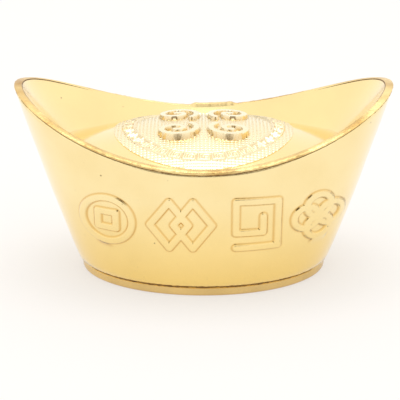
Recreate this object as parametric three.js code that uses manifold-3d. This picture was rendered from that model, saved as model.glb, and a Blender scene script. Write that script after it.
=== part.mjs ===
// Gold feng shui ingot: a boat-shaped hollow casting with a domed tray between two raised ears.
// Units are millimetres, +Z up. The origin is on the table under the middle of the base plate,
// +X runs from ear to ear and the side with the four motifs that is seen first faces -Y.

import * as THREE from 'three';
import Module from 'manifold-3d';
import { mergeVertices } from 'three/addons/utils/BufferGeometryUtils.js';

// Driving dimensions
const RIM = { halfLength: 31, halfWidth: 18.7, xPower: 2.5, yPower: 1.95 };
const RIM_HEIGHT = { middle: 22.1, tip: 31.7, power: 1.89 };
const FOOT = { halfLength: 20.9, halfWidth: 15.2 };
const FLARE = 0.9; // below 1 the side swells a little between foot and rim
const WALL = 1.6;
const WALL_TOP = 0.9; // the wall thins towards its upper edge, which makes room for the tray
const STEPS_AROUND = 64;
const HULL_LEVELS = [0, 0.3, 0.65]; // where the side bends, 0 at the foot and 1 at the rim
const INNER_LEVELS = [0.5, 0];

const PLATE = { halfLength: 20.5, halfWidth: 14.9, thickness: 1.5, edgeRadius: 0.45 };
const SPIGOT = { clearance: 0.4, height: 1.6 };
const BASE_SEAM = 0.3;
const BASE_BEAD = { outerInset: 0.1, innerInset: 1.2 };

const FLANGE = { width: 1.25, thickness: 0.5, edgeRadius: 0.15 };
const FLANGE_CROWN = { height: 0.5, ridgeInset: 0.8, bevelInset: 0.24, tipShare: 0.1 };
const RIM_SEAM = 0.3;
const RIM_BEAD = { outerInset: 0.1, innerInset: 0.8 };
const GLUE_GAP = 0.05; // clear space on each face of a cured bead
const TRAY = { thickness: 1.2, clearance: 0.25, footSpread: 0.5 };
const HOLLOWING = 1.2; // above 1 the inner walls of the ears are hollow
const HOLLOW_SHARES = [0.35, 0.7]; // where the inner wall bends on its way down

const DOME = { height: 24.8, dropAlong: 0.0058, dropAcross: 0.01725 };
const CREASE = { halfLength: 23.6, halfWidth: 15.6, power: 2.3 };
const SHOULDER = { halfLength: 18.5, halfWidth: 14.9 };
const FIELD = { halfLength: 14.9, halfWidth: 14.2, edge: 0.15, height: 0.15 };
const BORDER = { halfLength: 13.4, halfWidth: 12.5, width: 2, edge: 0.1, height: 0.45 };
const CROWN = { halfLength: 6, halfWidth: 5.5 };
const UNDER_DOME = { halfLength: 12, halfWidth: 11 };

// Raised strokes: root is how deep they start and step their longest length between two bends
const SCROLL = {
  length: 8.4, width: 7.3, gap: 0.7, turns: 1.4, innerRadius: 0.16,
  stroke: 1.1, height: 0.55, root: 0.5, step: 4,
};
const MOTIF = { stroke: 1.15, height: 0.36, root: 0.5, step: 2.4, level: 0.56 };
const COIN = { x: -15.4, width: 9.2, height: 9.2 };
const LOZENGES = { x: -3.6, width: 11, height: 9.4 };
const SQUARE_FRET = { x: 8.4, width: 7.8, height: 9.4 };
const QUATREFOIL = { x: 18.4, width: 9.2, height: 9.2 };

const SATIN_GOLD = { color: 0xf6d98c, roughness: 0.28, metalness: 1 };
const BRIGHT_GOLD = { color: 0xf6d98c, roughness: 0.25, metalness: 1 };
const PALE_GOLD = { color: 0xe9dcb4, roughness: 0.35, metalness: 1 };
const BROWN_GLUE = { color: 0x6b5230, roughness: 0.6, metalness: 0 };

// Plan curves and the outer skin

function signedPower(value, power) {
  return Math.sign(value) * Math.abs(value) ** power;
}

function oval(turn, halfLength, halfWidth, xPower = 2, yPower = xPower) {
  const x = halfLength * signedPower(Math.cos(turn), 2 / xPower);
  const y = halfWidth * signedPower(Math.sin(turn), 2 / yPower);
  return new THREE.Vector2(x, y);
}

// The rim curve drawn in by a distance, measured in plan. It dips between the ears.
function rimPoint(turn, inset = 0) {
  const edge = oval(turn, RIM.halfLength, RIM.halfWidth, RIM.xPower, RIM.yPower);
  const scaleX = (RIM.halfLength - inset) / RIM.halfLength;
  const scaleY = (RIM.halfWidth - inset) / RIM.halfWidth;
  const reach = Math.abs(edge.x / RIM.halfLength);
  const z = RIM_HEIGHT.middle + (RIM_HEIGHT.tip - RIM_HEIGHT.middle) * reach ** RIM_HEIGHT.power;
  return new THREE.Vector3(edge.x * scaleX, edge.y * scaleY, z);
}

// The outer skin: level 0 is the foot and level 1 the rim, depth goes inwards from the skin.
const FOOT_Z = PLATE.thickness + BASE_SEAM;

function skinPoint(turn, level, depth = 0) {
  const foot = oval(turn, FOOT.halfLength - depth, FOOT.halfWidth - depth);
  const rim = rimPoint(turn, depth);
  const spread = level ** FLARE;
  const x = foot.x + (rim.x - foot.x) * spread;
  const y = foot.y + (rim.y - foot.y) * spread;
  return new THREE.Vector3(x, y, FOOT_Z + (rim.z - FOOT_Z) * level);
}

// A point below the rim on the slant of the skin: inset goes inwards and drop goes down.
function belowRim(turn, inset, drop) {
  const rise = rimPoint(turn).z - FOOT_Z;
  return skinPoint(turn, 1 - drop / rise, inset);
}

function domeHeight(x, y) {
  return DOME.height - DOME.dropAlong * x * x - DOME.dropAcross * y * y;
}

// Closed meshes

function meshFrom(points, faces) {
  const geometry = new THREE.BufferGeometry();
  const values = points.flatMap((p) => [p.x, p.y, p.z]);
  geometry.setAttribute('position', new THREE.Float32BufferAttribute(values, 3));
  geometry.setIndex(faces.flat());
  return geometry;
}

// A closed section carried round the object: section(turn) lists its points, outside first going up.
function sweptRing(section) {
  const points = [];
  for (let step = 0; step < STEPS_AROUND; step += 1) {
    points.push(...section((step / STEPS_AROUND) * 2 * Math.PI));
  }
  const count = points.length / STEPS_AROUND;
  const faces = [];
  for (let step = 0; step < STEPS_AROUND; step += 1) {
    const here = step * count;
    const next = ((step + 1) % STEPS_AROUND) * count;
    for (let k = 0; k < count; k += 1) {
      const after = (k + 1) % count;
      faces.push([here + k, next + k, next + after], [here + k, next + after, here + after]);
    }
  }
  return meshFrom(points, faces);
}

// A section that starts and ends on the axis, so the swept body has no hole: the first point is
// the centre of the underside and the last the centre of the top.
function sweptDisc(bottomCentre, section, topCentre) {
  const points = [bottomCentre, topCentre];
  for (let step = 0; step < STEPS_AROUND; step += 1) {
    points.push(...section((step / STEPS_AROUND) * 2 * Math.PI));
  }
  const count = (points.length - 2) / STEPS_AROUND;
  const faces = [];
  for (let step = 0; step < STEPS_AROUND; step += 1) {
    const here = 2 + step * count;
    const next = 2 + ((step + 1) % STEPS_AROUND) * count;
    faces.push([0, next, here]);
    for (let k = 0; k < count - 1; k += 1) {
      faces.push([here + k, next + k, next + k + 1], [here + k, next + k + 1, here + k + 1]);
    }
    faces.push([1, here + count - 1, next + count - 1]);
  }
  return meshFrom(points, faces);
}

// Solids that are joined

const wasm = await Module();
wasm.setup();

function toSolid(geometry) {
  const bare = geometry.clone();
  bare.deleteAttribute('normal');
  bare.deleteAttribute('uv');
  const merged = mergeVertices(bare, 1e-5);
  return new wasm.Manifold(new wasm.Mesh({
    numProp: 3,
    vertProperties: new Float32Array(merged.attributes.position.array),
    triVerts: new Uint32Array(merged.index.array),
  }));
}

function toGeometry(solid) {
  const mesh = solid.getMesh();
  const geometry = new THREE.BufferGeometry();
  geometry.setAttribute('position', new THREE.BufferAttribute(mesh.vertProperties, 3));
  geometry.setIndex(new THREE.BufferAttribute(mesh.triVerts, 1));
  return geometry;
}

// One raised stroke between two plan points, laid on a surface by place(u, v, lift). It bends at
// each step, so that it follows the surface.
function stroke(from, to, size, place) {
  const along = to.clone().sub(from).normalize().multiplyScalar(size.stroke / 2);
  const side = new THREE.Vector2(-along.y, along.x);
  const start = from.clone().sub(along);
  const end = to.clone().add(along);
  const steps = Math.ceil(start.distanceTo(end) / size.step);
  const points = [];
  for (let step = 0; step <= steps; step += 1) {
    const middle = start.clone().lerp(end, step / steps);
    const right = middle.clone().sub(side);
    const left = middle.clone().add(side);
    points.push(
      place(right.x, right.y, -size.root), place(right.x, right.y, size.height),
      place(left.x, left.y, size.height), place(left.x, left.y, -size.root),
    );
  }
  const faces = [[0, 1, 2], [0, 2, 3]];
  for (let step = 0; step < steps; step += 1) {
    const here = step * 4;
    const next = here + 4;
    for (let k = 0; k < 4; k += 1) {
      const after = (k + 1) % 4;
      faces.push([here + k, next + k, next + after], [here + k, next + after, here + after]);
    }
  }
  const last = steps * 4;
  faces.push([last, last + 2, last + 1], [last, last + 3, last + 2]);
  return toSolid(meshFrom(points, faces));
}

function addLines(solid, lines, size, place) {
  let joined = solid;
  for (const points of lines) {
    for (let k = 0; k < points.length - 1; k += 1) {
      joined = joined.add(stroke(points[k], points[k + 1], size, place));
    }
  }
  return joined;
}

function line(...pairs) {
  return pairs.map(([u, v]) => new THREE.Vector2(u, v));
}

// Motifs, each in a square from -1 to 1

function roundLine(radius, sides, centre = [0, 0], startTurn = 0) {
  const points = [];
  for (let k = 0; k <= sides; k += 1) {
    const turn = startTurn + (k / sides) * 2 * Math.PI;
    points.push([centre[0] + radius * Math.cos(turn), centre[1] + radius * Math.sin(turn)]);
  }
  return line(...points);
}

function squareLine(half) {
  return line([-half, -half], [half, -half], [half, half], [-half, half], [-half, -half]);
}

function coinMotif() {
  return [roundLine(1, 12, [0, 0], Math.PI / 12), squareLine(0.36)];
}

function doubleLozengeMotif() {
  const halfWidth = 0.62;
  const lozenge = (u) => line(
    [u - halfWidth, 0], [u, -1], [u + halfWidth, 0], [u, 1], [u - halfWidth, 0],
  );
  return [lozenge(halfWidth - 1), lozenge(1 - halfWidth)];
}

function squareFretMotif() {
  return [line([-1, -1], [1, -1], [1, 1], [-1, 1], [-1, -0.36], [0.3, -0.36], [0.3, 0.34])];
}

// Four round petals that meet in the middle.
function quatrefoilMotif() {
  const petal = (u, v) => roundLine(0.5, 6, [u, v], v === 0 ? 0 : Math.PI / 6);
  return [petal(-0.5, 0), petal(0.5, 0), petal(0, -0.5), petal(0, 0.5)];
}

function scaled(lines, factorU, factorV, centre) {
  return lines.map((points) => points.map((p) => new THREE.Vector2(
    centre.x + p.x * factorU,
    centre.y + p.y * factorV,
  )));
}

// Sub-parts

// The flared outer body, open above and below, with four cast motifs on each long side.
function hullGeometry() {
  const topDrop = FLANGE.thickness + RIM_SEAM;
  const section = (turn) => {
    const outside = HULL_LEVELS.map((level) => skinPoint(turn, level));
    const inside = INNER_LEVELS.map((level) => skinPoint(turn, level, WALL));
    return [...outside, belowRim(turn, 0, topDrop), belowRim(turn, WALL_TOP, topDrop), ...inside];
  };
  let solid = toSolid(sweptRing(section));
  const motifs = [
    [coinMotif(), COIN], [doubleLozengeMotif(), LOZENGES],
    [squareFretMotif(), SQUARE_FRET], [quatrefoilMotif(), QUATREFOIL],
  ];
  for (const side of [-1, 1]) {
    const place = (u, v, lift) => onSkin(u, v, lift, side);
    for (const [lines, size] of motifs) {
      const spread = MOTIF.stroke / 2;
      const centre = new THREE.Vector2(size.x, 0);
      const placed = scaled(lines, size.width / 2 - spread, size.height / 2 - spread, centre);
      solid = addLines(solid, placed, MOTIF, place);
    }
  }
  return toGeometry(solid);
}

// A point on a long side, found by stepping towards it: u runs to the right as that side is faced,
// v is the height from the motif's middle and lift stands out of the skin.
function onSkin(u, v, lift, side) {
  const x = -side * u;
  const rise = RIM_HEIGHT.middle - FOOT_Z;
  const height = FOOT_Z + rise * MOTIF.level + v;
  const passes = 30;
  const damping = 1.2;
  let turn = (side * Math.PI) / 2;
  let level = MOTIF.level;
  for (let pass = 0; pass < passes; pass += 1) {
    const here = skinPoint(turn, level);
    turn -= (side * (x - here.x)) / RIM.halfLength;
    level += (height - here.z) / (rise * damping);
  }
  const step = 0.02;
  const here = skinPoint(turn, level);
  const aroundEdge = skinPoint(turn + step, level).sub(here);
  const upEdge = skinPoint(turn, level + step).sub(here);
  return here.addScaledVector(aroundEdge.cross(upEdge).normalize(), lift);
}

// A point on the hollowed inner wall, a share of the way down from the rim to the crease.
function hollow(edge, crease, share) {
  const across = share ** HOLLOWING;
  const down = 1 - (1 - share) ** HOLLOWING;
  return new THREE.Vector3(
    edge.x + (crease.x - edge.x) * across,
    edge.y + (crease.y - edge.y) * across,
    edge.z + (crease.z - edge.z) * down,
  );
}

// A point of the crease, where the inner walls meet the dome.
function creasePoint(turn, spread = 0, drop = 0) {
  const { halfLength, halfWidth, power } = CREASE;
  const plan = oval(turn, halfLength + spread, halfWidth + spread, power);
  return new THREE.Vector3(plan.x, plan.y, domeHeight(plan.x, plan.y) - drop);
}

// A point of an oval ring on the dome, drawn in by inset and raised by lift.
function domePoint(turn, ring, inset, lift) {
  const plan = oval(turn, ring.halfLength - inset, ring.halfWidth - inset);
  return new THREE.Vector3(plan.x, plan.y, domeHeight(plan.x, plan.y) + lift);
}

// How far the flange swells above the rim curve. It is nearly flat at the tips of the ears.
function flangeCrown(turn) {
  const reach = rimPoint(turn).x / RIM.halfLength;
  return FLANGE_CROWN.height * (1 - (1 - FLANGE_CROWN.tipShare) * reach ** 2);
}

// The tray's upper side, from the flange's lower edge over the rim and the crease to the crown.
function trayTop(turn) {
  const rise = flangeCrown(turn);
  const innerEdge = belowRim(turn, FLANGE.width, FLANGE.edgeRadius - rise);
  return [
    belowRim(turn, 0, FLANGE.thickness),
    belowRim(turn, 0, 0),
    belowRim(turn, FLANGE_CROWN.bevelInset, -rise * Math.SQRT1_2),
    belowRim(turn, FLANGE_CROWN.ridgeInset, -rise),
    belowRim(turn, FLANGE.width - FLANGE.edgeRadius, -rise),
    innerEdge,
    ...HOLLOW_SHARES.map((share) => hollow(innerEdge, creasePoint(turn), share)),
    creasePoint(turn),
    domePoint(turn, SHOULDER, 0, 0),
    domePoint(turn, FIELD, 0, 0),
    domePoint(turn, FIELD, FIELD.edge, FIELD.height),
    domePoint(turn, BORDER, -BORDER.edge, FIELD.height),
    domePoint(turn, BORDER, 0, BORDER.height),
    domePoint(turn, BORDER, BORDER.width, BORDER.height),
    domePoint(turn, BORDER, BORDER.width + BORDER.edge, FIELD.height),
    domePoint(turn, CROWN, 0, FIELD.height),
  ];
}

// Its underside, from the dome out to the flange. It keeps clear of the hull's inner wall.
function trayUnder(turn) {
  const foot = creasePoint(turn, TRAY.footSpread, TRAY.thickness);
  const head = belowRim(turn, WALL_TOP + TRAY.clearance, FLANGE.thickness);
  const wall = HOLLOW_SHARES.map((share) => hollow(head, foot, share)).reverse();
  return [domePoint(turn, UNDER_DOME, 0, -TRAY.thickness), foot, ...wall, head];
}

// The tray: rim flange, inner walls of the ears, the crease and the dome with its relief.
function trayGeometry() {
  const bottomCentre = new THREE.Vector3(0, 0, DOME.height - TRAY.thickness);
  const topCentre = new THREE.Vector3(0, 0, DOME.height + FIELD.height);
  const section = (turn) => [...trayUnder(turn), ...trayTop(turn)];
  const onDome = (u, v, lift) => new THREE.Vector3(u, v, domeHeight(u, v) + lift);
  let solid = toSolid(sweptDisc(bottomCentre, section, topCentre));
  const [reachU, reachV] = [SCROLL.length, SCROLL.width].map((size) => (size + SCROLL.gap) / 2);
  const [halfU, halfV] = [SCROLL.length, SCROLL.width].map((size) => (size - SCROLL.stroke) / 2);
  for (const u of [-1, 1]) {
    for (const v of [-1, 1]) {
      const centre = new THREE.Vector2(u * reachU, v * reachV);
      solid = addLines(solid, scaled(scrollMotif(), halfU * u, halfV * v, centre), SCROLL, onDome);
    }
  }
  return toGeometry(solid);
}

// A round spiral whose outer end lies towards the dome's middle.
function scrollMotif() {
  const sides = 14;
  const endTurn = Math.PI * 1.25;
  const points = [];
  for (let k = 0; k <= sides; k += 1) {
    const share = k / sides;
    const radius = SCROLL.innerRadius + (1 - SCROLL.innerRadius) * share;
    const turn = endTurn - (1 - share) * SCROLL.turns * 2 * Math.PI;
    points.push([radius * Math.cos(turn), radius * Math.sin(turn)]);
  }
  return [line(...points)];
}

// The oval base plate with a rounded lower edge and a spigot that centres it in the hull.
function plateGeometry() {
  const spigotIn = WALL + SPIGOT.clearance;
  const top = PLATE.thickness + SPIGOT.height;
  const bend = PLATE.edgeRadius * (1 - Math.SQRT1_2);
  const section = (turn) => {
    const at = (inset, z) => {
      const plan = oval(turn, PLATE.halfLength - inset, PLATE.halfWidth - inset);
      return new THREE.Vector3(plan.x, plan.y, z);
    };
    return [
      at(PLATE.edgeRadius, 0),
      at(bend, bend),
      at(0, PLATE.edgeRadius),
      at(0, PLATE.thickness),
      at(spigotIn, PLATE.thickness),
      at(spigotIn, top),
    ];
  };
  return sweptDisc(new THREE.Vector3(0, 0, 0), section, new THREE.Vector3(0, 0, top));
}

// The cured adhesive between the base plate and the hull.
function baseGlueGeometry() {
  const { outerInset, innerInset } = BASE_BEAD;
  const low = PLATE.thickness + GLUE_GAP;
  const high = FOOT_Z - GLUE_GAP;
  return sweptRing((turn) => {
    const at = (inset, z) => {
      const plan = oval(turn, PLATE.halfLength - inset, PLATE.halfWidth - inset);
      return new THREE.Vector3(plan.x, plan.y, z);
    };
    return [at(outerInset, low), at(outerInset, high), at(innerInset, high), at(innerInset, low)];
  });
}

// The cured adhesive between the hull's upper edge and the tray's flange.
function rimGlueGeometry() {
  const { outerInset, innerInset } = RIM_BEAD;
  const low = FLANGE.thickness + RIM_SEAM - GLUE_GAP;
  const high = FLANGE.thickness + GLUE_GAP;
  return sweptRing((turn) => [
    belowRim(turn, outerInset, low), belowRim(turn, outerInset, high),
    belowRim(turn, innerInset, high), belowRim(turn, innerInset, low),
  ]);
}

function part(name, geometry, finish) {
  const mesh = new THREE.Mesh(geometry, new THREE.MeshStandardMaterial(finish));
  mesh.name = name;
  return mesh;
}

const ingot = new THREE.Group();
ingot.add(
  part('hull_shell', hullGeometry(), SATIN_GOLD),
  part('dome_tray', trayGeometry(), BRIGHT_GOLD),
  part('base_plate', plateGeometry(), PALE_GOLD),
  part('base_seam_adhesive', baseGlueGeometry(), BROWN_GLUE),
  part('rim_seam_adhesive', rimGlueGeometry(), BROWN_GLUE),
);

export default ingot;
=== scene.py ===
"""Gold feng shui ingot: the finished surfaces of the boat-shaped casting, its domed tray and its base."""

import math

import bmesh
import bpy
import numpy as np
from bpy.props import FloatProperty, FloatVectorProperty, IntProperty, PointerProperty
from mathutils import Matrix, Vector, noise


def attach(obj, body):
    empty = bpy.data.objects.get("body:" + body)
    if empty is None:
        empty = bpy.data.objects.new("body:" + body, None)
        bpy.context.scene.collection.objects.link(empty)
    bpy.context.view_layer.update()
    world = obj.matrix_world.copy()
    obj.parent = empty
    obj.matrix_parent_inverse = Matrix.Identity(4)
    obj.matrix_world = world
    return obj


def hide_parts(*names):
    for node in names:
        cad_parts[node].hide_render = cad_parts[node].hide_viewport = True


bl_info = {
    "name": "Feng shui ingot",
    "version": (1, 0, 0),
    "blender": (4, 5, 0),
    "location": "3D View > Sidebar > Ingot",
    "description": "Builds a gold ingot with raised ears, a domed tray and an oval base plate",
    "category": "Object",
}

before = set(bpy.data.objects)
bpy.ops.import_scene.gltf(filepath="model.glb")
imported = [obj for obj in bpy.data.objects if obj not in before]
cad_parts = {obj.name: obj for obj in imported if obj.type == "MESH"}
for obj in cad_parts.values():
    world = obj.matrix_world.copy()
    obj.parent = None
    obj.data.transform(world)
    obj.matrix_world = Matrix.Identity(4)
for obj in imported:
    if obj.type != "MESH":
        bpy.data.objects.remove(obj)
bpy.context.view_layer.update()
BODY = "root"
MM = 0.001

# Plan powers of the rim: above 2 an oval is squarer, below 2 more pointed
RIM_X_POWER = 2.5
RIM_Y_POWER = 1.95
RIM_RISE_POWER = 1.89
FLARE = 0.9
CREASE_POWER = 2.3
HOLLOWING = 1.04

# Sampling of the surfaces
HULL_STEPS = 776
TRAY_STEPS = 768
PLATE_STEPS = 320
MOTIF_LOW_SHARE = 0.27
MOTIF_HIGH_SHARE = 0.86
FIELD_STEP = 0.12 * MM

# Details that no size in the panel drives
UNDER_CLEARANCE = 0.25 * MM
MOTIF_RAMP = 0.26 * MM
MOTIF_MARGIN = 2 * MM
FIELD_GROUND = 0.15 * MM
FIELD_SKIRT = 0.35 * MM
FIELD_FLOOR = 0.6 * MM
BORDER_RAMP = 0.14 * MM
BORDER_STROKE = 0.3 * MM
BORDER_LINE_HEIGHT = 0.2 * MM
BORDER_GROUND = 0.06 * MM
SCROLL_RAMP = 0.13 * MM
SCROLL_FLATTENING = 11.25
SCROLL_REACH = 10 * MM

# Marks on the rim band, in millimetres: noise depths, then the gate scars in front and behind
RIM_FINE = 0.12
RIM_COARSE = 0.07
GATE_X = (-1.8, 1.7)
GATE_RISE = (0.08, 0.4)
GATE_BULGE = (0.12, 0.05)

# Photograph frame and camera
PHOTO_WIDTH = 400
CAMERA_FOCAL = 1543.1
CAMERA_DISTANCE = 0.26
CAMERA_ELEVATION = math.radians(20)
CAMERA_TARGET = Vector((-0.6 * MM, 0, 11.19 * MM))
SENSOR_WIDTH = 36


def srgb(code):
    """The linear colour of an sRGB hex code."""
    values = [int(code[at:at + 2], 16) / 255 for at in (0, 2, 4)]
    return tuple(v / 12.92 if v <= 0.04045 else ((v + 0.055) / 1.055) ** 2.4 for v in values)


def length(name, description, default_mm):
    """A size property, given in millimetres and kept in metres."""
    return FloatProperty(
        name=name, description=description, default=default_mm * MM, unit="LENGTH", precision=5
    )


def colour(name, description, code):
    """A colour property from an sRGB hex code."""
    return FloatVectorProperty(
        name=name, description=description, subtype="COLOR", size=3, min=0, max=1, default=srgb(code)
    )


class IngotSizes(bpy.types.PropertyGroup):
    """The sizes of the ingot."""

    rim_half_length: length("Rim half length", "Middle to the tip of an ear", 31.0)
    rim_half_width: length("Rim half width", "Middle to the outer edge of the rim", 18.7)
    rim_middle: length("Rim height at the middle", "Table to the lowest point of the rim", 22.1)
    rim_tip: length("Rim height at the ears", "Table to the tip of an ear", 31.7)
    foot_half_length: length("Foot half length", "Half the length of the hull's lower edge", 20.9)
    foot_half_width: length("Foot half width", "Half the width of the hull's lower edge", 15.2)
    foot_height: length("Foot height", "Table to the hull's lower edge", 1.8)
    wall: length("Wall", "Thickness of the hull", 1.6)
    wall_top: length("Wall at the top", "Thickness of the hull's upper edge", 0.9)
    flange_width: length("Flange width", "Width of the rim band", 1.25)
    flange_thickness: length("Flange thickness", "Rim curve to the band's lower edge", 0.08)
    flange_crown: length("Flange crown", "How far the band swells above the rim curve", 0.46)
    flange_edge: length("Flange edge radius", "Rounding of the band's inner edge", 0.15)
    rim_seam: length("Rim seam", "Gap under the rim band", 0.13)
    tray_thickness: length("Tray thickness", "Thickness of the tray", 1.2)
    crease_half_length: length("Crease half length", "Middle to the crease at an ear", 23.6)
    crease_half_width: length("Crease half width", "Middle to the crease at a long side", 15.6)
    dome_height: length("Dome height", "Table to the top of the dome", 24.8)
    field_half_length: length("Field half length", "Half the length of the dotted field", 14.9)
    field_half_width: length("Field half width", "Half the width of the dotted field", 14.2)
    dot_pitch: length("Dot pitch", "Spacing of the pits in the dotted field", 0.6)
    pit_depth: length("Pit depth", "Depth of a pit", 0.1)
    scroll_height: length("Scroll height", "How far the scrolls stand above the dome's top", 0.5)
    scroll_stroke: length("Scroll stroke", "Width of a scroll's stroke", 1.1)
    motif_height: length("Motif height", "How far the side motifs stand out", 0.3)
    motif_stroke: length("Motif stroke", "Width of a side motif's stroke", 1.15)
    plate_half_length: length("Plate half length", "Half the length of the base plate", 20.5)
    plate_half_width: length("Plate half width", "Half the width of the base plate", 14.9)
    plate_thickness: length("Plate thickness", "Thickness of the base plate's rim", 1.5)
    plate_edge: length("Plate edge radius", "Rounding of the base plate's lower edge", 0.5)
    key_count: IntProperty(
        name="Keys", description="Number of keys in the border round the scrolls", default=34
    )


class IngotFinish(bpy.types.PropertyGroup):
    """The colours of the ingot and its stage."""

    # Painted shade and light: the hull's gold is darker and more saturated near the foot and paler near
    # the rim.
    gold_low_painted_shade: colour("Gold, low", "Plated gold near the foot", "ffdc80")
    gold_high_painted_light: colour("Gold, high", "Plated gold near the rim", "ffeaaf")
    tray_gold: colour("Tray gold", "Plated gold of the tray", "ffe39f")
    # Painted light: the relief's gold is paler than the tray's gold, for the bright tops of its strokes.
    relief_gold_painted_light: colour("Relief gold", "Plated gold of the dome's relief", "ffeec4")
    flash_gold: colour("Trimmed gold", "Rough gold of the trimmed rim", "cf9c48")
    base_gold: colour("Champagne", "Pale gold of the base plate", "eccb86")
    adhesive: colour("Adhesive", "Cured adhesive in the seams", "7d5a28")
    speck: colour("Speck", "Dust under the plating", "8a6a30")
    paper: colour("Paper", "The floor", "fbf8f5")
    tent: colour("Tent", "The light tent round the object", "ffffff")
    opening: colour("Tent opening", "The dark opening the picture is taken through", "523e18")


# Plan curves and surfaces, all in metres and worked on whole arrays of points


def signed_power(value, power):
    """A power that keeps the sign."""
    return np.sign(value) * np.abs(value) ** power


def oval(turn, half_length, half_width, x_power=2.0, y_power=None):
    """Points of an oval at the given turns."""
    y_power = x_power if y_power is None else y_power
    x = half_length * signed_power(np.cos(turn), 2 / x_power)
    y = half_width * signed_power(np.sin(turn), 2 / y_power)
    return x, y


def rim_point(size, turn, inset=0.0):
    """The rim curve, drawn in by inset. It dips between the ears."""
    x, y = oval(turn, size.rim_half_length, size.rim_half_width, RIM_X_POWER, RIM_Y_POWER)
    reach = np.abs(x / size.rim_half_length)
    z = size.rim_middle + (size.rim_tip - size.rim_middle) * reach ** RIM_RISE_POWER
    x = x * (1 - inset / size.rim_half_length)
    y = y * (1 - inset / size.rim_half_width)
    return np.stack([x, y, z], -1)


def skin(size, turn, level, depth=0.0):
    """The hull's outer skin: level 0 is the foot and 1 the rim, depth goes inwards."""
    foot_x, foot_y = oval(turn, size.foot_half_length - depth, size.foot_half_width - depth)
    rim = rim_point(size, turn, depth)
    spread = np.clip(level, 0, None) ** FLARE
    x = foot_x + (rim[..., 0] - foot_x) * spread
    y = foot_y + (rim[..., 1] - foot_y) * spread
    z = size.foot_height + (rim[..., 2] - size.foot_height) * level
    return np.stack([x, y, z], -1)


def below_rim(size, turn, inset, drop):
    """A point below the rim on the slant of the skin."""
    rise = rim_point(size, turn)[..., 2] - size.foot_height
    return skin(size, turn, 1 - drop / rise, inset)


def dome_height(size, x, y):
    """Height of the smooth dome. It falls faster across than along."""
    along = 5.8
    across = 17.25
    return size.dome_height - along * x * x - across * y * y


def smooth_step(value):
    """0 below 0, 1 above 1 and an easy curve between."""
    value = np.clip(value, 0, 1)
    return value * value * (3 - 2 * value)


def noise_at(points, scale, seed=0.0):
    """Smooth noise from -1 to 1 at each point, with features about scale metres wide."""
    shift = Vector((seed, seed * 1.7, seed * 0.6))
    return np.array([noise.noise(Vector(p) / scale + shift) for p in points])


def even_turns(size, share, weight_inside=1.0):
    """Turns that space points evenly along the hull's side, closer together where |x| is small."""
    middle_level = 0.56
    motif_reach = 23.5 * MM
    turn = np.linspace(0, 2 * math.pi, 8001)
    points = skin(size, turn, middle_level)
    step = np.linalg.norm(np.diff(points, axis=0), axis=1)
    inside = np.abs(points[:-1, 0]) < motif_reach
    step = step * np.where(inside, weight_inside, 1.0)
    travelled = np.concatenate([[0], np.cumsum(step)])
    return np.interp(share, travelled / travelled[-1], turn)


# Motifs, each drawn in a square from -1 to 1


def round_line(radius, sides, centre=(0, 0), start=0.0):
    """A closed circle as a line."""
    turn = start + np.linspace(0, 2 * math.pi, sides + 1)
    return np.stack([centre[0] + radius * np.cos(turn), centre[1] + radius * np.sin(turn)], -1)


def straight_line(*points):
    """A line through the given points."""
    return np.array(points, dtype=float)


def coin_motif():
    """A round coin with a square hole."""
    half = 0.36
    hole = straight_line((-half, -half), (half, -half), (half, half), (-half, half), (-half, -half))
    return [round_line(1, 48), hole]


def lozenge_motif():
    """Two lozenges that overlap."""
    lines = []
    for shift in (-0.38, 0.38):
        lines.append(straight_line(
            (shift - 0.62, 0), (shift, -1), (shift + 0.62, 0), (shift, 1), (shift - 0.62, 0)
        ))
    return lines


def square_fret_motif():
    """A squared spiral."""
    return [straight_line((-1, -1), (1, -1), (1, 1), (-1, 1), (-1, -0.36), (0.3, -0.36), (0.3, 0.34))]


def quatrefoil_motif():
    """Four round petals that meet in the middle."""
    return [round_line(0.5, 24, centre) for centre in ((-0.5, 0), (0.5, 0), (0, -0.5), (0, 0.5))]


def scroll_motif():
    """A round spiral that opens towards the dome's middle."""
    turns = 1.4
    inner_radius = 0.16
    share = np.linspace(0, 1, 60)
    radius = inner_radius + (1 - inner_radius) * share
    turn = math.pi * 1.25 - (1 - share) * turns * 2 * math.pi
    return [np.stack([radius * np.cos(turn), radius * np.sin(turn)], -1)]


# Each side motif: its lines, its place along the side, its width and its height, in millimetres
SIDE_MOTIFS = (
    (coin_motif, -15.4, 9.2, 9.2),
    (lozenge_motif, -3.6, 11.0, 9.4),
    (square_fret_motif, 8.4, 7.8, 9.4),
    (quatrefoil_motif, 18.4, 9.2, 9.2),
)
MOTIF_LEVEL = 0.56
SCROLL_LENGTH = 8.4 * MM
SCROLL_WIDTH = 7.3 * MM
SCROLL_GAP = 0.7 * MM
BORDER_HALF_LENGTH = 13.4 * MM
BORDER_HALF_WIDTH = 12.5 * MM
BORDER_BAND = 2.0 * MM


def line_distance(points, lines):
    """Distance from each plan point to the nearest of the lines."""
    best = np.full(len(points), 1.0)
    for line in lines:
        for start, end in zip(line[:-1], line[1:]):
            run = end - start
            share = ((points - start) @ run) / max(run @ run, 1e-18)
            near = start + np.clip(share, 0, 1)[:, None] * run
            best = np.minimum(best, np.linalg.norm(points - near, axis=1))
    return best


def foot_shade(distance, stroke):
    """How near a place is to the foot of a stroke's side, where a painted shade darkens the gold."""
    reach = 0.13 * MM
    return np.exp(-((distance - stroke / 2 - reach * 0.7) / reach) ** 2)


def set_painted_shade(bm, values):
    """Keeps a painted shade from 0 to 1 for each vertex, which darkens the gold's colour towards brown.
    """
    layer = bm.verts.layers.float.new("painted_shade")
    for vert, value in zip(bm.verts, values):
        vert[layer] = value


def raised(distance, stroke, height, ramp):
    """Height of a stroke's flat top with steep sides."""
    return height * smooth_step((stroke / 2 - distance) / ramp + 0.5)


# Mesh work


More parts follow.
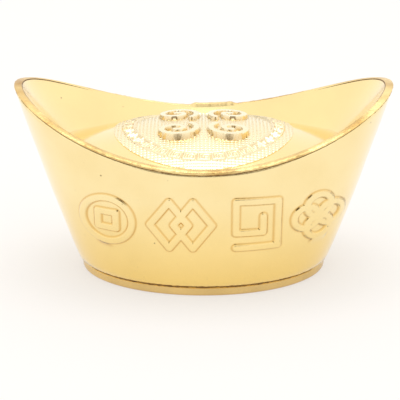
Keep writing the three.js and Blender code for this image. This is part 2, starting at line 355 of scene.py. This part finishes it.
def swept(rows, steps, size, closed, weight_inside=1.0):
    """A section carried round the object.

    rows is a list of functions of turn that give points. A closed section joins its last row to
    its first, and an open one starts and ends on the axis, where its first and last row are single
    points. The section is spun as a plain ring and each row is then laid in its place.
    """
    spacing = 0.01
    edge_radius = 1.0
    bm = bmesh.new()
    chain = []
    for index in range(len(rows)):
        on_axis = not closed and index in (0, len(rows) - 1)
        chain.append(bm.verts.new((0 if on_axis else edge_radius, 0, index * spacing)))
    edges = [bm.edges.new(pair) for pair in zip(chain[:-1], chain[1:])]
    if closed:
        edges.append(bm.edges.new((chain[-1], chain[0])))
    bmesh.ops.spin(
        bm, geom=chain + edges, cent=(0, 0, 0), axis=(0, 0, 1), dvec=(0, 0, 0),
        angle=2 * math.pi, steps=steps, use_merge=True, use_duplicate=False,
    )
    bmesh.ops.remove_doubles(bm, verts=bm.verts, dist=1e-4)
    places = np.array([v.co[:] for v in bm.verts])
    row_of = np.rint(places[:, 2] / spacing).astype(int)
    share = (np.arctan2(places[:, 1], places[:, 0]) / (2 * math.pi)) % 1.0
    turn = even_turns(size, share, weight_inside)
    laid = np.zeros_like(places)
    for index, row in enumerate(rows):
        here = row_of == index
        laid[here] = row(turn[here])
    for vert, place in zip(bm.verts, laid):
        vert.co = place
    return bm, row_of, turn


def finish_piece(bm, name, materials, replaced=(), sharp_angle=38):
    """Turns a bmesh into a piece of the object, smooth but for its sharp edges."""
    bmesh.ops.recalc_face_normals(bm, faces=bm.faces)
    limit = math.radians(sharp_angle)
    for face in bm.faces:
        face.smooth = True
    for edge in bm.edges:
        edge.smooth = len(edge.link_faces) == 2 and edge.calc_face_angle(0) < limit
    mesh = bpy.data.meshes.new(name)
    bm.to_mesh(mesh)
    bm.free()
    piece = bpy.data.objects.new(name, mesh)
    bpy.context.scene.collection.objects.link(piece)
    for material in materials:
        mesh.materials.append(material)
    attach(piece, BODY)
    if replaced:
        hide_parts(*replaced)
    return piece


# Materials


def add_node(tree, kind, values=None, links=None, **settings):
    """Adds a node with its settings, its sockets' values and its links."""
    node = tree.nodes.new(kind)
    for key, value in settings.items():
        setattr(node, key, value)
    for socket, value in (values or {}).items():
        node.inputs[socket].default_value = value
    for socket, source in (links or {}).items():
        tree.links.new(source, node.inputs[socket])
    return node


def new_material(name):
    """An empty node material and its tree."""
    material = bpy.data.materials.new(name)
    material.use_nodes = True
    material.node_tree.nodes.clear()
    return material, material.node_tree


def plated_gold(name, low, high, speck, roughness, coat, grain_mm, grain_depth_mm, cloud):
    """Electroplated gold on a cast body, under clear lacquer.

    The plating is smooth and bright, with a painted shade near the foot and painted light near the rim
    (the colour runs from low to high with height), a fine satin grain from the casting, a painted shade
    at the foot of raised strokes, in pits and at the base plate's lower edge, and a few specks of dust
    caught under the lacquer.
    """
    material, tree = new_material(name)
    place = add_node(tree, "ShaderNodeTexCoord").outputs["Object"]
    height = add_node(tree, "ShaderNodeSeparateXYZ", links={0: place}).outputs["Z"]
    # Painted shade and light: the colour goes from the low colour near the foot to the high colour near
    # the rim.
    rise = add_node(
        tree, "ShaderNodeMapRange",
        values={"From Min": 1 * MM, "From Max": 17 * MM}, links={"Value": height},
    ).outputs["Result"]
    tone = add_node(
        tree, "ShaderNodeMix", data_type="RGBA",
        values={6: (*low, 1), 7: (*high, 1)}, links={0: rise},
    ).outputs[2]
    clouds = add_node(
        tree, "ShaderNodeTexNoise", values={"Scale": 1 / (7 * MM), "Detail": 3}, links={"Vector": place},
    ).outputs["Fac"]
    cloud_share = add_node(
        tree, "ShaderNodeMapRange",
        values={"From Min": 0.35, "From Max": 0.75, "To Max": cloud}, links={"Value": clouds},
    ).outputs["Result"]
    clouded = add_node(
        tree, "ShaderNodeMix", data_type="RGBA",
        values={7: (*[c * 0.82 for c in low], 1)}, links={0: cloud_share, 6: tone},
    ).outputs[2]
    cells = add_node(
        tree, "ShaderNodeTexVoronoi", values={"Scale": 1 / (3 * MM)}, links={"Vector": place},
    )
    nearness = add_node(
        tree, "ShaderNodeMapRange",
        values={"From Min": 0.03, "From Max": 0.055, "To Min": 1, "To Max": 0},
        links={"Value": cells.outputs["Distance"]},
    ).outputs["Result"]
    chosen = add_node(
        tree, "ShaderNodeMath", operation="GREATER_THAN",
        values={1: 0.55}, links={0: cells.outputs["Color"]},
    ).outputs[0]
    specks = add_node(
        tree, "ShaderNodeMath", operation="MULTIPLY", links={0: nearness, 1: chosen},
    ).outputs[0]
    base = add_node(
        tree, "ShaderNodeMix", data_type="RGBA",
        values={7: (*speck, 1)}, links={0: specks, 6: clouded},
    ).outputs[2]
    # Painted shade: the colour darkens towards brown at the foot of raised strokes, in the dome's pits
    # and at the base plate's lower edge.
    painted_shade = add_node(tree, "ShaderNodeAttribute", attribute_name="painted_shade").outputs["Fac"]
    painted_shade_share = add_node(
        tree, "ShaderNodeMath", operation="MULTIPLY", values={1: 0.8}, links={0: painted_shade},
    ).outputs[0]
    base = add_node(
        tree, "ShaderNodeMix", data_type="RGBA",
        values={7: (*[c * f for c, f in zip(low, (0.72, 0.55, 0.3))], 1)},
        links={0: painted_shade_share, 6: base},
    ).outputs[2]
    grain = add_node(
        tree, "ShaderNodeTexNoise",
        values={"Scale": 1 / (grain_mm * MM), "Detail": 4, "Roughness": 0.6}, links={"Vector": place},
    ).outputs["Fac"]
    rough = add_node(
        tree, "ShaderNodeMapRange",
        values={"From Min": 0.3, "From Max": 0.7, "To Min": roughness * 0.8, "To Max": roughness * 1.25},
        links={"Value": grain},
    ).outputs["Result"]
    bump = add_node(
        tree, "ShaderNodeBump",
        values={"Strength": 1.0, "Distance": grain_depth_mm * MM}, links={"Height": grain},
    ).outputs["Normal"]
    shader = add_node(
        tree, "ShaderNodeBsdfPrincipled",
        values={"Metallic": 1, "Coat Weight": coat, "Coat Roughness": 0.12},
        links={"Base Color": base, "Roughness": rough, "Normal": bump},
    )
    add_node(tree, "ShaderNodeOutputMaterial", links={"Surface": shader.outputs[0]})
    return material


def cured_adhesive(name, tint):
    """Brown adhesive squeezed out of a seam and cured: dull, lumpy and a little uneven in tone."""
    material, tree = new_material(name)
    place = add_node(tree, "ShaderNodeTexCoord").outputs["Object"]
    lumps = add_node(
        tree, "ShaderNodeTexNoise",
        values={"Scale": 1 / (0.5 * MM), "Detail": 4}, links={"Vector": place},
    ).outputs["Fac"]
    base = add_node(
        tree, "ShaderNodeMix", data_type="RGBA",
        values={6: (*[c * 0.4 for c in tint], 1), 7: (*[c * 1.8 for c in tint], 1)}, links={0: lumps},
    ).outputs[2]
    bump = add_node(
        tree, "ShaderNodeBump", values={"Distance": 0.05 * MM}, links={"Height": lumps},
    ).outputs["Normal"]
    shader = add_node(
        tree, "ShaderNodeBsdfPrincipled", values={"Roughness": 0.5, "IOR": 1.5},
        links={"Base Color": base, "Normal": bump},
    )
    add_node(tree, "ShaderNodeOutputMaterial", links={"Surface": shader.outputs[0]})
    return material


def floor_paper(name, tint):
    """Seamless white paper. The camera sees it near white and it still takes a faint shadow."""
    material, tree = new_material(name)
    path = add_node(tree, "ShaderNodeLightPath").outputs
    seen = add_node(
        tree, "ShaderNodeMath", operation="ADD",
        links={0: path["Is Camera Ray"], 1: path["Is Glossy Ray"]},
    ).outputs[0]
    share = add_node(
        tree, "ShaderNodeMath", operation="MULTIPLY", values={1: 0.58}, links={0: seen},
    ).outputs[0]
    paper = add_node(tree, "ShaderNodeBsdfDiffuse", values={"Color": (*tint, 1)})
    white = add_node(tree, "ShaderNodeEmission", values={"Color": (*tint, 1), "Strength": 1})
    mixed = add_node(
        tree, "ShaderNodeMixShader", links={0: share, 1: paper.outputs[0], 2: white.outputs[0]},
    )
    add_node(tree, "ShaderNodeOutputMaterial", links={"Surface": mixed.outputs[0]})
    return material


# Operators, one for each piece or group of like pieces


class INGOT_OT_hull(bpy.types.Operator):
    """The flared outer body with four raised motifs on each long side"""

    bl_idname = "ingot.hull"
    bl_label = "Hull"

    def execute(self, context):
        size = context.scene.ingot_sizes
        finish = context.scene.ingot_finish
        top_drop = size.flange_thickness + size.rim_seam
        lip = 0.12 * MM

        def at(share, depth):
            def row(turn):
                rise = rim_point(size, turn)[..., 2] - size.foot_height
                return skin(size, turn, share * (1 - top_drop / rise), depth)
            return row

        shares = np.concatenate([
            np.linspace(0.006, MOTIF_LOW_SHARE, 9)[:-1],
            np.linspace(MOTIF_LOW_SHARE, MOTIF_HIGH_SHARE, 108)[:-1],
            np.linspace(MOTIF_HIGH_SHARE, 0.995, 6),
        ])
        rows = [at(0, lip)] + [at(share, 0.0) for share in shares] + [at(1, lip)]
        outer_count = len(rows)
        rows += [at(1, size.wall_top), at(0.5, size.wall), at(0, size.wall)]
        inside_weight = 2.2
        bm, row_of, turn = swept(rows, HULL_STEPS, size, True, inside_weight)
        places = np.array([v.co[:] for v in bm.verts])
        outer = (row_of > 0) & (row_of < outer_count - 1)
        share = np.zeros(len(places))
        share[outer] = shares[row_of[outer] - 1]
        rise = rim_point(size, turn)[:, 2] - size.foot_height
        level = share * (1 - top_drop / rise)
        lift, painted_shade = self.relief(size, places)
        lift += self.waviness(places)
        lift[~outer] = 0
        set_painted_shade(bm, painted_shade * outer)
        nudge = 1e-4
        around = skin(size, turn + nudge, level) - skin(size, turn, level)
        upward = skin(size, turn, level + nudge) - skin(size, turn, level)
        outward = np.cross(around, upward)
        outward /= np.linalg.norm(outward, axis=1)[:, None]
        places = places + outward * lift[:, None]
        ragged = row_of <= 1
        places[ragged, 2] += 0.07 * MM * noise_at(places[ragged], 0.6 * MM)
        for vert, place in zip(bm.verts, places):
            vert.co = place
        # The hull's low and high gold colours are painted shade and painted light.
        gold = plated_gold(
            "electroplated_gold_satin_painted_light_and_shade", finish.gold_low_painted_shade, finish.gold_high_painted_light, finish.speck,
            roughness=0.22, coat=0.8, grain_mm=0.35, grain_depth_mm=0.0004, cloud=0.2,
        )
        finish_piece(bm, "ingot_hull", [gold], ["hull_shell"], sharp_angle=75)
        return {"FINISHED"}

    @staticmethod
    def relief(size, places):
        """Height of the motifs above the skin at each place, and the painted shade at their foot."""
        middle = size.foot_height + (size.rim_middle - size.foot_height) * MOTIF_LEVEL
        side = np.where(places[:, 1] < 0, -1, 1)
        plan = np.stack([-side * places[:, 0], places[:, 2] - middle], -1)
        lift = np.zeros(len(places))
        painted_shade = np.zeros(len(places))
        near_side = np.abs(places[:, 1]) > 3 * MM
        for motif, x_mm, width_mm, height_mm in SIDE_MOTIFS:
            spread = np.array([width_mm, height_mm]) * MM / 2 - size.motif_stroke / 2
            centre = np.array([x_mm * MM, 0])
            lines = [line * spread + centre for line in motif()]
            close = near_side & (np.abs(plan - centre) < spread + MOTIF_MARGIN).all(axis=1)
            distance = line_distance(plan[close], lines)
            drawn = raised(distance, size.motif_stroke, size.motif_height, MOTIF_RAMP)
            lift[close] = np.maximum(lift[close], drawn)
            # Painted shade along the foot of each stroke.
            painted_shade[close] = np.maximum(painted_shade[close], foot_shade(distance, size.motif_stroke))
        return lift, painted_shade

    @staticmethod
    def waviness(places):
        """The slow unevenness of a polished casting."""
        depth = 0.018 * MM
        wave = 5.3 * MM
        x, y, z = (places / wave).T
        slow = np.sin(x + 1.3 * z) + np.sin(1.7 * x - 0.8 * z + 1.1)
        return depth * (slow + np.sin(2.9 * z + 0.6 * y))


class INGOT_OT_tray(bpy.types.Operator):
    """The tray: rough rim band, hollow ear walls, crease and smooth dome"""

    bl_idname = "ingot.tray"
    bl_label = "Tray"

    def execute(self, context):
        size = context.scene.ingot_sizes
        finish = context.scene.ingot_finish
        under = self.under_rows(size)
        flange = self.flange_rows(size)
        wall = self.wall_rows(size)
        dome = self.dome_rows(size)
        rows = under + flange + wall + dome
        bm, row_of, turn = swept(rows, TRAY_STEPS, size, False)
        first_wall = len(under) + len(flange)
        crease_row = first_wall + len(wall)
        near_crease = [v for v, row in zip(bm.verts, row_of) if abs(row - crease_row) <= 2]
        for _ in range(3):
            bmesh.ops.smooth_vert(
                bm, verts=near_crease, factor=0.5, use_axis_x=True, use_axis_y=True, use_axis_z=True
            )
        self.roughen_rim(bm, row_of, len(under), first_wall, size)
        band = set(range(len(under) - 1, first_wall - 1))
        row_at = dict(zip(bm.verts, row_of))
        for face in bm.faces:
            if min(row_at[v] for v in face.verts) in band:
                face.material_index = 1
        gold = plated_gold(
            "electroplated_gold_bright", finish.tray_gold, finish.tray_gold, finish.speck,
            roughness=0.2, coat=0.9, grain_mm=0.4, grain_depth_mm=0.0008, cloud=0.3,
        )
        trimmed = plated_gold(
            "trimmed_gold_flash", finish.flash_gold, finish.tray_gold, finish.speck,
            roughness=0.38, coat=0.2, grain_mm=0.5, grain_depth_mm=0.12, cloud=1.0,
        )
        finish_piece(bm, "ingot_tray", [gold, trimmed], ["dome_tray"])
        return {"FINISHED"}

    @staticmethod
    def dome_point(size, turn, share, drop=0.0):
        power = 2 + (CREASE_POWER - 2) * share
        x, y = oval(turn, size.crease_half_length * share, size.crease_half_width * share, power)
        return np.stack([x, y, dome_height(size, x, y) - drop], -1)

    def under_rows(self, size):
        """The hidden underside, from its centre to the flange."""
        def centre(turn):
            return np.tile([0, 0, size.dome_height - size.tray_thickness], (len(turn), 1))

        def foot(turn):
            return self.dome_point(size, turn, 1, size.tray_thickness)

        def middle(turn):
            return self.dome_point(size, turn, 0.5, size.tray_thickness)

        def head(turn):
            return below_rim(size, turn, size.wall_top + UNDER_CLEARANCE, size.flange_thickness)

        return [centre, middle, foot, head]

    @staticmethod
    def flange_rows(size):
        """The rim band, from the underside round its outer face to its inner edge."""
        def at(inset, drop, rise):
            def row(turn):
                return below_rim(size, turn, inset, drop - rise * INGOT_OT_tray.crown(size, turn))
            return row

        edge = size.flange_edge
        ridge = size.flange_width - edge
        rows = [at(0.06 * MM, size.flange_thickness, 0), at(0, size.flange_thickness - 0.04 * MM, 0)]
        for bend in (0, 15, 30, 45, 60, 75, 90):
            angle = math.radians(bend)
            rows.append(at(0.8 * ridge * (1 - math.cos(angle)), 0, math.sin(angle)))
        for bend in (0, 20, 40, 60):
            angle = math.radians(bend)
            rows.append(at(ridge + edge * math.sin(angle), edge * (1 - math.cos(angle)), 1))
        return rows

    @staticmethod
    def crown(size, turn):
        """How far the band swells above the rim curve. It is flat at the tips of the ears."""
        reach = np.abs(rim_point(size, turn)[..., 0] / size.rim_half_length)
        return size.flange_crown * (1 - 0.9 * reach ** 2)

    def wall_rows(self, size):
        """The hollow inner walls of the ears, down to the crease."""
        def at(share):
            def row(turn):
                top_drop = size.flange_edge - self.crown(size, turn)
                top = below_rim(size, turn, size.flange_width, top_drop)
                low = self.dome_point(size, turn, 1)
                across = share ** HOLLOWING
                down = 1 - (1 - share) ** HOLLOWING
                mix = np.stack([across, across, down], -1)
                return top + (low - top) * mix
            return row

        return [at(share) for share in np.linspace(0.04, 0.97, 24)]

    def dome_rows(self, size):
        """The dome, from the crease to its top."""
        rows = []
        for share in np.concatenate([[1.0, 0.985, 0.965], np.linspace(0.94, 0.04, 26)]):
            rows.append(lambda turn, share=share: self.dome_point(size, turn, share))
        rows.append(lambda turn: np.tile([0, 0, size.dome_height], (len(turn), 1)))
        return rows

    @staticmethod
    def roughen_rim(bm, row_of, first, last, size):
        """Cuts marks and trimmed gates into the outer edge of the rim band."""
        band = [(v, row) for v, row in zip(bm.verts, row_of) if first <= row < last]
        places = np.array([v.co[:] for v, _ in band])
        fine = noise_at(places, 0.45 * MM)
        coarse = noise_at(places, 1.6 * MM, 5.0)
        front = places[:, 1] < 0
        reach = np.where(front, *GATE_X) * MM
        half_gate = 3.6 * MM
        gate = smooth_step((half_gate - np.abs(places[:, 0] - reach)) / (1.2 * MM) + 0.5)
        ends = np.abs(places[:, 0]) / size.rim_half_length
        wear = 1 - 0.75 * smooth_step((ends - 0.55) / 0.3)
        for index, (vert, row) in enumerate(band):
            outer = 1.0 if row < first + 6 else 0.45
            amount = outer * wear[index] * (RIM_FINE * fine[index] + RIM_COARSE * coarse[index]) * MM
            direction = Vector((vert.co.x, vert.co.y, 0)).normalized()
            vert.co += direction * amount + Vector((0, 0, amount * 0.8))
            side = 0 if front[index] else 1
            rise = GATE_RISE[side] * MM
            vert.co.z += gate[index] * rise * (1 if row > first else 0.3)
            vert.co += direction * gate[index] * outer * GATE_BULGE[side] * MM


class INGOT_OT_dome_relief(bpy.types.Operator):
    """The dotted field on the dome with its key border and four scrolls"""

    bl_idname = "ingot.dome_relief"
    bl_label = "Dome relief"

    def execute(self, context):
        size = context.scene.ingot_sizes
        finish = context.scene.ingot_finish
        reach = max(size.field_half_length, size.field_half_width) + FIELD_STEP * 2
        count = int(2 * reach / FIELD_STEP)
        bm = bmesh.new()
        bmesh.ops.create_grid(bm, x_segments=count, y_segments=count, size=reach)
        self.trim(bm, size)
        places = np.array([v.co[:] for v in bm.verts])
        x, y = places[:, 0], places[:, 1]
        lift, painted_shade = self.relief(size, x, y)
        for vert, z in zip(bm.verts, dome_height(size, x, y) + lift):
            vert.co.z = z
        set_painted_shade(bm, painted_shade)
        self.close_below(bm, size)
        # The relief's paler gold is painted light.
        gold = plated_gold(
            "electroplated_gold_relief_painted_light_and_shade", finish.relief_gold_painted_light, finish.relief_gold_painted_light, finish.speck,
            roughness=0.26, coat=0.5, grain_mm=0.3, grain_depth_mm=0.004, cloud=0.2,
        )
        finish_piece(bm, "ingot_dome_relief", [gold], ["dome_tray"], sharp_angle=50)
        return {"FINISHED"}

    @staticmethod
    def trim(bm, size):
        """Cuts the grid to the oval field and draws its border onto the oval."""
        def ratio(co):
            return math.hypot(co.x / size.field_half_length, co.y / size.field_half_width)

        outside = [f for f in bm.faces if ratio(f.calc_center_median()) > 1]
        bmesh.ops.delete(bm, geom=outside, context="FACES")
        for vert in bm.verts:
            if vert.is_boundary:
                vert.co.xy = vert.co.xy / ratio(vert.co)

    @staticmethod
    def close_below(bm, size):
        """Turns the border down into the tray and closes the sheet under the dome."""
        border = [e for e in bm.edges if e.is_boundary]
        skirt = bmesh.ops.extrude_edge_only(bm, edges=border)["geom"]
        low = [v for v in skirt if isinstance(v, bmesh.types.BMVert)]
        for vert in low:
            vert.co.z = dome_height(size, vert.co.x, vert.co.y) - FIELD_SKIRT
        border = [e for e in skirt if isinstance(e, bmesh.types.BMEdge) and e.is_boundary]
        fan = bmesh.ops.extrude_edge_only(bm, edges=border)["geom"]
        middle = [v for v in fan if isinstance(v, bmesh.types.BMVert)]
        centre = (0, 0, size.dome_height - FIELD_FLOOR)
        bmesh.ops.pointmerge(bm, verts=middle, merge_co=centre)

    def relief(self, size, x, y):
        """Height above the smooth dome, and the painted shade in the pits and at the foot of the border
        and scrolls.
        """
        pit = self.pits(size, x, y)
        border_lift, border_mask, border_shade = self.border(size, x, y)
        scroll_lift, scroll_shade = self.scrolls(size, x, y)
        open_ground = (1 - border_mask) * (1 - np.clip(scroll_lift / size.scroll_height * 3, 0, 1))
        lift = FIELD_GROUND - size.pit_depth * pit * open_ground + np.maximum(border_lift, scroll_lift)
        # Painted shade in the pits and along the foot of the border's lines and the scrolls.
        painted_shade = np.maximum(0.7 * pit * open_ground, np.maximum(border_shade, scroll_shade))
        return lift, painted_shade

    @staticmethod
    def pits(size, x, y):
        """Where the small pits are, on a square grid."""
        across = ((x / size.dot_pitch) % 1) - 0.5
        along = ((y / size.dot_pitch) % 1) - 0.5
        return smooth_step((0.38 - np.hypot(across, along)) / 0.25)

    @staticmethod
    def border(size, x, y):
        """The key border: its raised lines, where its plain band lies and the painted shade at the foot
        of its lines.
        """
        ring = np.hypot(x / BORDER_HALF_LENGTH, y / BORDER_HALF_WIDTH)
        mean = (BORDER_HALF_LENGTH + BORDER_HALF_WIDTH) / 2
        inward = (1 - ring) * mean
        outer = smooth_step(inward / BORDER_RAMP + 0.5)
        mask = outer * smooth_step((BORDER_BAND - inward) / BORDER_RAMP + 0.5)
        turn = np.arctan2(y / BORDER_HALF_WIDTH, x / BORDER_HALF_LENGTH)
        unit = 2 * math.pi * (mean - BORDER_BAND / 2) / size.key_count
        along = ((turn / (2 * math.pi) * size.key_count) % 1) * unit
        height = BORDER_BAND - inward
        key = straight_line(
            (0.12, 0.08), (0.12, 0.92), (0.86, 0.92), (0.86, 0.36), (0.46, 0.36), (0.46, 0.62)
        ) * np.array([unit, BORDER_BAND])
        foot = straight_line((0, 0.08), (1, 0.08)) * np.array([unit, BORDER_BAND])
        lift = np.zeros(len(x))
        inside = mask > 0.01
        plan = np.stack([along, height], -1)[inside]
        distance = line_distance(plan, [key, foot])
        lift[inside] = raised(distance, BORDER_STROKE, BORDER_LINE_HEIGHT, BORDER_RAMP)
        shade = np.zeros(len(x))
        shade[inside] = 0.6 * foot_shade(distance, BORDER_STROKE)
        return lift * mask + BORDER_GROUND * mask, mask, shade * mask

    @staticmethod
    def scrolls(size, x, y):
        """The four raised scrolls, whose tops are flatter than the dome, and the painted shade at their
        foot.
        """
        lift = np.zeros(len(x))
        shade = np.zeros(len(x))
        reach = (np.array([SCROLL_LENGTH, SCROLL_WIDTH]) + SCROLL_GAP) / 2
        half = (np.array([SCROLL_LENGTH, SCROLL_WIDTH]) - size.scroll_stroke) / 2
        lines = []
        for mirror in ((-1, -1), (-1, 1), (1, -1), (1, 1)):
            lines += [(line * half + reach) * mirror for line in scroll_motif()]
        near = (np.abs(x) < SCROLL_REACH) & (np.abs(y) < SCROLL_REACH)
        plan = np.stack([x, y], -1)[near]
        distance = line_distance(plan, lines)
        height = size.scroll_height + SCROLL_FLATTENING * y[near] ** 2
        lift[near] = raised(distance, size.scroll_stroke, height, SCROLL_RAMP)
        shade[near] = 0.8 * foot_shade(distance, size.scroll_stroke)
        return lift, shade


class INGOT_OT_base(bpy.types.Operator):
    """The oval base plate with its rounded lower edge"""

    bl_idname = "ingot.base"
    bl_label = "Base plate"

    def execute(self, context):
        size = context.scene.ingot_sizes
        finish = context.scene.ingot_finish
        spigot = size.wall + 0.4 * MM
        spigot_top = size.plate_thickness + 1.6 * MM
        edge = size.plate_edge
        top_edge = 0.15 * MM

        def at(inset, z):
            def row(turn):
                x, y = oval(turn, size.plate_half_length - inset, size.plate_half_width - inset)
                return np.stack([x, y, np.full(len(turn), z)], -1)
            return row

        def centre(z):
            return lambda turn: np.tile([0, 0, z], (len(turn), 1))

        rows = [centre(0), at(8 * MM, 0), at(edge * 1.3, 0)]
        for bend in (0, 22, 45, 67, 90):
            inset = edge * (1 - math.sin(math.radians(bend)))
            rows.append(at(inset, edge * (1 - math.cos(math.radians(bend)))))
        rows += [at(0, size.plate_thickness - top_edge), at(top_edge, size.plate_thickness)]
        rows += [at(spigot, size.plate_thickness), at(spigot, spigot_top), centre(spigot_top)]
        bm, _, _ = swept(rows, PLATE_STEPS, size, False)
        # Painted shade: the plate's gold darkens towards its lower edge, where it meets the floor.
        shaded = 0.35 * MM
        set_painted_shade(bm, [max(0.0, 1 - vert.co.z / shaded) for vert in bm.verts])
        gold = plated_gold(
            "champagne_plated_base_painted_shade", finish.base_gold, finish.base_gold, finish.speck,
            roughness=0.32, coat=0.3, grain_mm=0.22, grain_depth_mm=0.012, cloud=0.9,
        )
        finish_piece(bm, "ingot_base_plate", [gold], ["base_plate"])
        return {"FINISHED"}


class INGOT_OT_seams(bpy.types.Operator):
    """The uneven beads of adhesive in the base seam and the rim seam"""

    bl_idname = "ingot.seams"
    bl_label = "Seams"

    def execute(self, context):
        size = context.scene.ingot_sizes
        adhesive = cured_adhesive("cured_brown_adhesive", context.scene.ingot_finish.adhesive)

        def base_at(inset, z):
            def row(turn):
                x, y = oval(turn, size.plate_half_length - inset, size.plate_half_width - inset)
                return np.stack([x, y, np.full(len(turn), z)], -1)
            return row

        overlap = 0.03 * MM
        low = size.plate_thickness - overlap
        high = size.foot_height + overlap
        middle = (low + high) / 2
        base_rows = [
            base_at(0.12 * MM, low), base_at(0.02 * MM, middle), base_at(0.12 * MM, high),
            base_at(1.2 * MM, high), base_at(1.2 * MM, low),
        ]
        self.bead("ingot_base_seam", base_rows, size, adhesive, "base_seam_adhesive", 0.13 * MM)

        def rim_at(inset, drop):
            return lambda turn: below_rim(size, turn, inset, drop)

        top = size.flange_thickness - overlap
        bottom = size.flange_thickness + size.rim_seam + overlap
        rim_rows = [
            rim_at(0.1 * MM, bottom), rim_at(0.0, (top + bottom) / 2), rim_at(0.1 * MM, top),
            rim_at(1.3 * MM, top), rim_at(1.3 * MM, bottom),
        ]
        self.bead("ingot_rim_seam", rim_rows, size, adhesive, "rim_seam_adhesive", 0.12 * MM)
        return {"FINISHED"}

    @staticmethod
    def bead(name, rows, size, material, node, unevenness):
        """A closed bead whose outer face wanders in and out of the seam."""
        bm, row_of, _ = swept(rows, TRAY_STEPS, size, True)
        outer = [v for v, row in zip(bm.verts, row_of) if row <= 2]
        places = np.array([v.co[:] for v in outer])
        wander = noise_at(places, 0.5 * MM) + 0.6 * noise_at(places, 2.2 * MM, 3.0)
        for vert, amount in zip(outer, wander):
            vert.co += Vector((vert.co.x, vert.co.y, 0)).normalized() * amount * unevenness
        finish_piece(bm, name, [material], [node])


class INGOT_OT_stage(bpy.types.Operator):
    """The floor, the light tent, the overhead lamp and the camera"""

    bl_idname = "ingot.stage"
    bl_label = "Stage"

    def execute(self, context):
        scene = context.scene
        finish = scene.ingot_finish
        self.floor(scene, finish)
        self.tent(scene, finish)
        self.lamp(scene)
        self.camera(scene)
        scene.view_settings.view_transform = "Standard"
        return {"FINISHED"}

    @staticmethod
    def floor(scene, finish):
        bm = bmesh.new()
        bmesh.ops.create_grid(bm, x_segments=1, y_segments=1, size=2.0)
        mesh = bpy.data.meshes.new("stage_floor")
        bm.to_mesh(mesh)
        bm.free()
        floor = bpy.data.objects.new("stage_floor", mesh)
        mesh.materials.append(floor_paper("seamless_paper", finish.paper))
        scene.collection.objects.link(floor)

    @staticmethod
    def tent(scene, finish):
        """A white tent, with one dark opening low at the front that polished metal reflects."""
        tent_level = 1.1
        world = bpy.data.worlds.new("light_tent")
        world.use_nodes = True
        tree = world.node_tree
        tree.nodes.clear()
        direction = add_node(tree, "ShaderNodeTexCoord").outputs["Generated"]
        opening = (0, -math.cos(CAMERA_ELEVATION), math.sin(CAMERA_ELEVATION))
        closeness = add_node(
            tree, "ShaderNodeVectorMath", operation="DOT_PRODUCT",
            values={1: opening}, links={0: direction},
        ).outputs["Value"]
        share = add_node(
            tree, "ShaderNodeMapRange", interpolation_type="SMOOTHSTEP",
            values={"From Min": math.cos(math.radians(24)), "From Max": math.cos(math.radians(9))},
            links={"Value": closeness},
        ).outputs["Result"]
        tint = add_node(
            tree, "ShaderNodeMix", data_type="RGBA",
            values={6: (*finish.tent, 1), 7: (*finish.opening, 1)}, links={0: share},
        ).outputs[2]
        lit = add_node(
            tree, "ShaderNodeBackground", values={"Strength": tent_level}, links={"Color": tint},
        )
        plain = add_node(tree, "ShaderNodeBackground", values={"Color": (1, 1, 1, 1), "Strength": 1})
        seen = add_node(tree, "ShaderNodeLightPath").outputs["Is Camera Ray"]
        mixed = add_node(
            tree, "ShaderNodeMixShader", links={0: seen, 1: lit.outputs[0], 2: plain.outputs[0]},
        )
        add_node(tree, "ShaderNodeOutputWorld", links={"Surface": mixed.outputs[0]})
        scene.world = world

    @staticmethod
    def lamp(scene):
        """A soft lamp over the object, a little behind it."""
        width = 0.16
        radiance = 2.6
        light = bpy.data.lights.new("overhead_softbox", "AREA")
        light.size = width
        light.energy = radiance * math.pi * width * width
        lamp = bpy.data.objects.new("overhead_softbox", light)
        lamp.location = (0, 0.03, 0.37)
        lamp.rotation_euler = (-Vector((0, 0.03, 0.35))).to_track_quat("-Z", "Y").to_euler()
        scene.collection.objects.link(lamp)

    @staticmethod
    def camera(scene):
        data = bpy.data.cameras.new("photo_camera")
        data.sensor_width = SENSOR_WIDTH
        data.lens = SENSOR_WIDTH * CAMERA_FOCAL / PHOTO_WIDTH
        data.clip_start = 0.01
        camera = bpy.data.objects.new("photo_camera", data)
        away = Vector((0, -math.cos(CAMERA_ELEVATION), math.sin(CAMERA_ELEVATION)))
        camera.location = CAMERA_TARGET + away * CAMERA_DISTANCE
        camera.rotation_euler = (math.pi / 2 - CAMERA_ELEVATION, 0, 0)
        scene.collection.objects.link(camera)
        scene.camera = camera


OPERATORS = (
    INGOT_OT_hull,
    INGOT_OT_tray,
    INGOT_OT_dome_relief,
    INGOT_OT_base,
    INGOT_OT_seams,
    INGOT_OT_stage,
)


class INGOT_PT_panel(bpy.types.Panel):
    """Lists the pieces of the ingot"""

    bl_idname = "INGOT_PT_panel"
    bl_label = "Ingot"
    bl_space_type = "VIEW_3D"
    bl_region_type = "UI"
    bl_category = "Ingot"

    def draw(self, context):
        for operator in OPERATORS:
            self.layout.operator(operator.bl_idname)
        for group in (context.scene.ingot_sizes, context.scene.ingot_finish):
            for name in group.bl_rna.properties.keys():
                if name not in ("rna_type", "name"):
                    self.layout.prop(group, name)


CLASSES = (IngotSizes, IngotFinish, *OPERATORS, INGOT_PT_panel)


def register():
    for made in CLASSES:
        bpy.utils.register_class(made)
    bpy.types.Scene.ingot_sizes = PointerProperty(type=IngotSizes)
    bpy.types.Scene.ingot_finish = PointerProperty(type=IngotFinish)


def unregister():
    del bpy.types.Scene.ingot_finish
    del bpy.types.Scene.ingot_sizes
    for made in reversed(CLASSES):
        bpy.utils.unregister_class(made)


def main():
    register()
    bpy.ops.ingot.hull()
    bpy.ops.ingot.tray()
    bpy.ops.ingot.dome_relief()
    bpy.ops.ingot.base()
    bpy.ops.ingot.seams()
    bpy.ops.ingot.stage()


if __name__ == "__main__":
    main()
